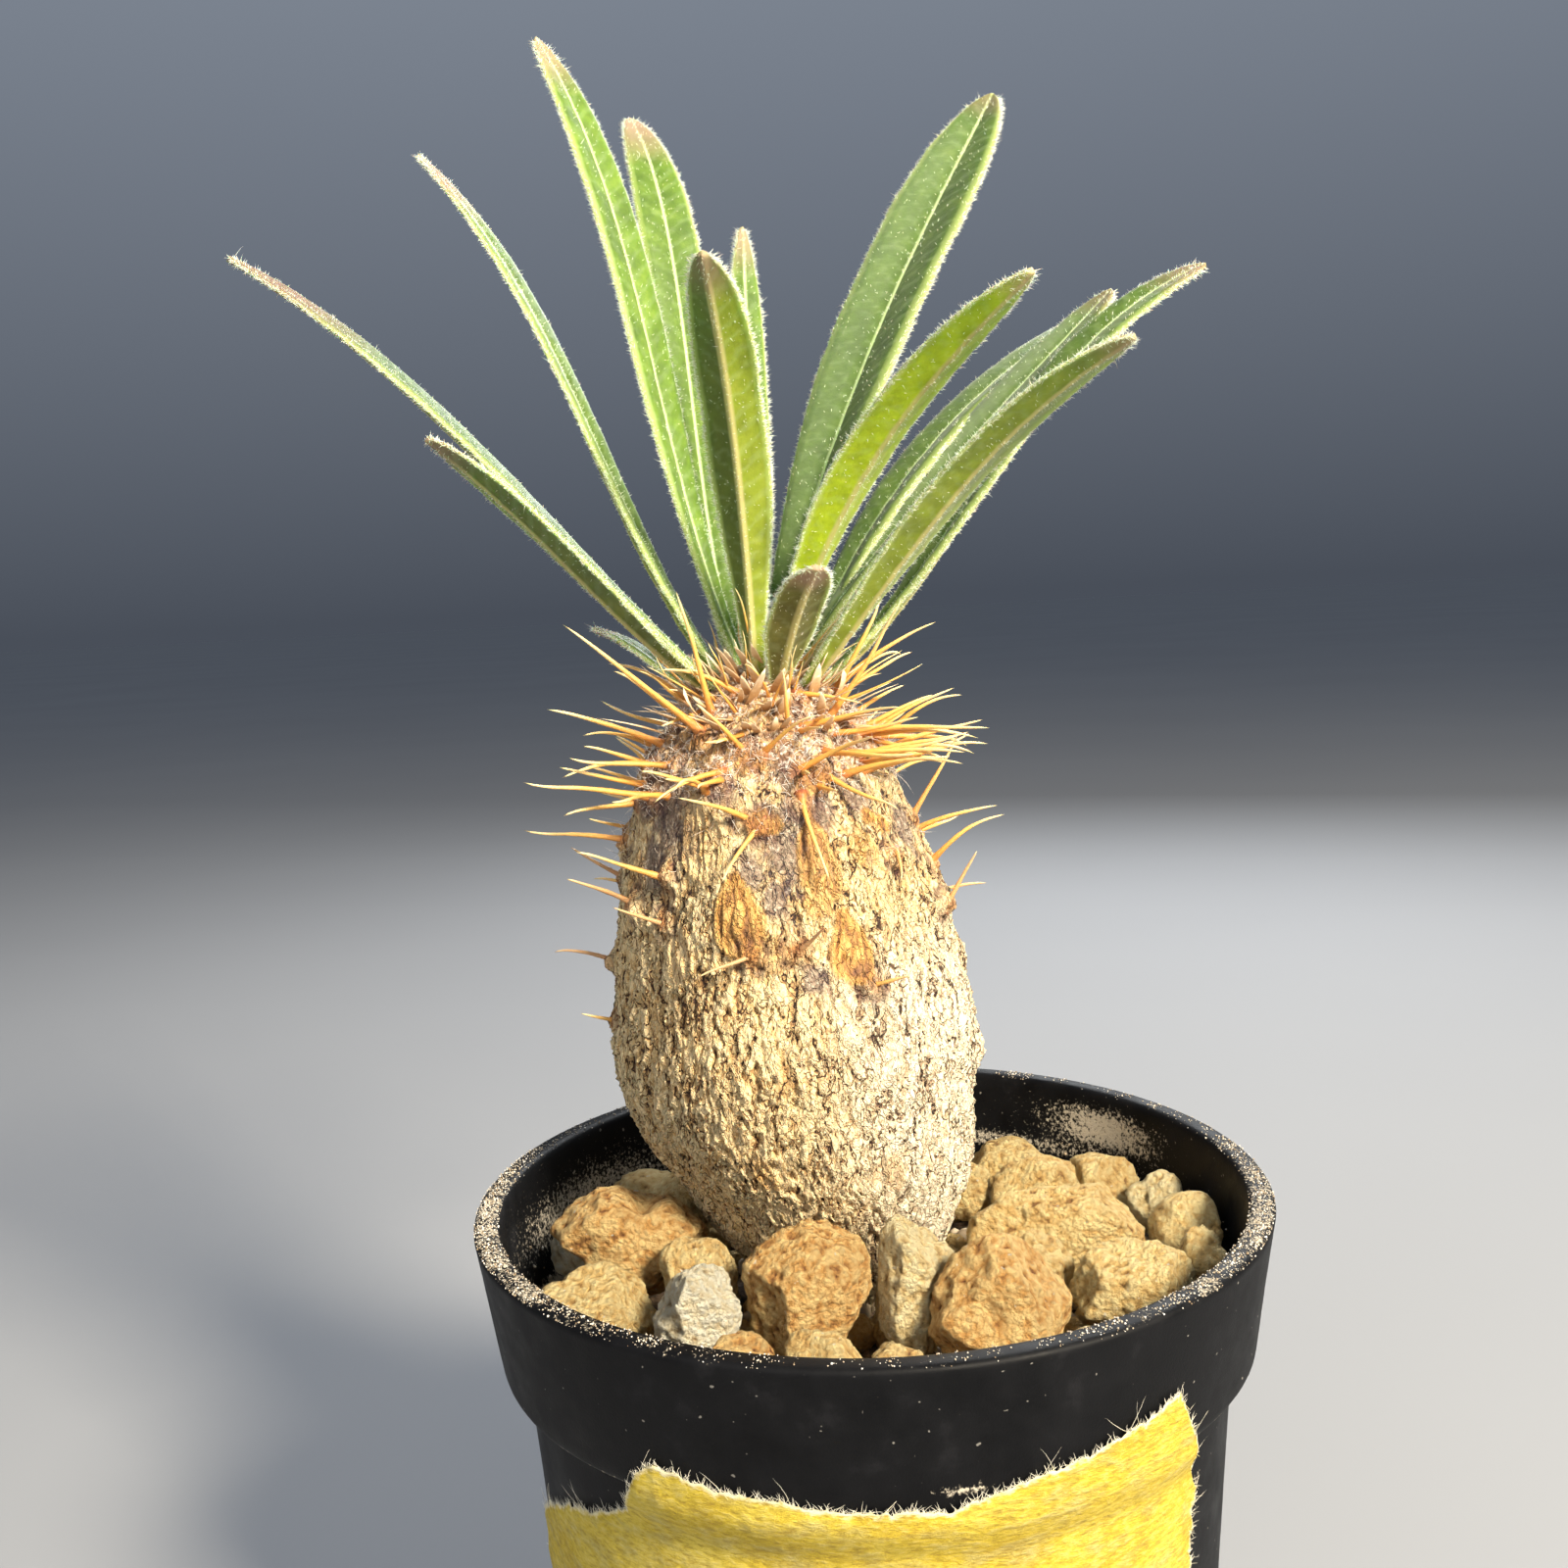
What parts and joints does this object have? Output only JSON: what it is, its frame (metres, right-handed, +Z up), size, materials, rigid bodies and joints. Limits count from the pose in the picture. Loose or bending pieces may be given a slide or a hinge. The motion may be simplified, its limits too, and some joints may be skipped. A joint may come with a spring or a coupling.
{
  "type": "potted pachypodium gracilius",
  "caption": "Small caudex succulent with a spiny barrel stem and upright narrow leaves, in a round black nursery pot topped with tan stones, with a blank paper tape label.",
  "frame": {"origin": "centre of the pot's flat underside", "axes": "+Z up through the pot, -Y towards the viewer and the label, +X to the viewer's right"},
  "size_m": [0.0929, 0.075, 0.1762],
  "materials": {
    "pot": "satin",
    "tape": "matte",
    "soil": "matte",
    "bark": "matte",
    "spine": "satin",
    "leaf": "satin",
    "leaf_under": "matte",
    "stone_red": "matte",
    "stone_tan": "matte",
    "stone_ochre": "matte",
    "stone_cream": "matte"
  },
  "bodies": {
    "root": {"pot": "pot", "label_tape": "tape", "soil": "soil", "caudex": "bark", "leaf_01": "leaf", "leaf_02": "leaf_under", "leaf_03": "leaf", "leaf_04": "leaf", "leaf_05": "leaf", "leaf_06": "leaf_under", "leaf_07": "leaf", "leaf_08": "leaf", "leaf_09": "leaf", "leaf_10": "leaf", "leaf_11": "leaf", "leaf_12": "leaf", "leaf_13": "leaf", "leaf_14": "leaf_under", "leaf_15": "leaf", "stone_01": "stone_red", "stone_02": "stone_tan", "stone_03": "stone_ochre", "stone_04": "stone_cream", "stone_05": "stone_tan", "stone_06": "stone_red", "stone_07": "stone_cream", "stone_08": "stone_red", "stone_09": "stone_tan", "stone_10": "stone_tan", "stone_11": "stone_ochre", "stone_12": "stone_ochre", "stone_13": "stone_ochre", "stone_14": "stone_tan", "stone_15": "stone_tan", "stone_16": "stone_cream", "stone_17": "stone_red", "stone_18": "stone_tan", "stone_19": "stone_tan", "stone_20": "stone_tan", "stone_21": "stone_tan", "stone_22": "stone_red", "stone_23": "stone_tan", "stone_24": "stone_ochre", "stone_25": "stone_cream", "stone_26": "stone_tan", "stone_27": "stone_tan", "stone_28": "stone_tan", "stone_29": "stone_tan", "stone_30": "stone_tan"}
  },
  "joints": []
}
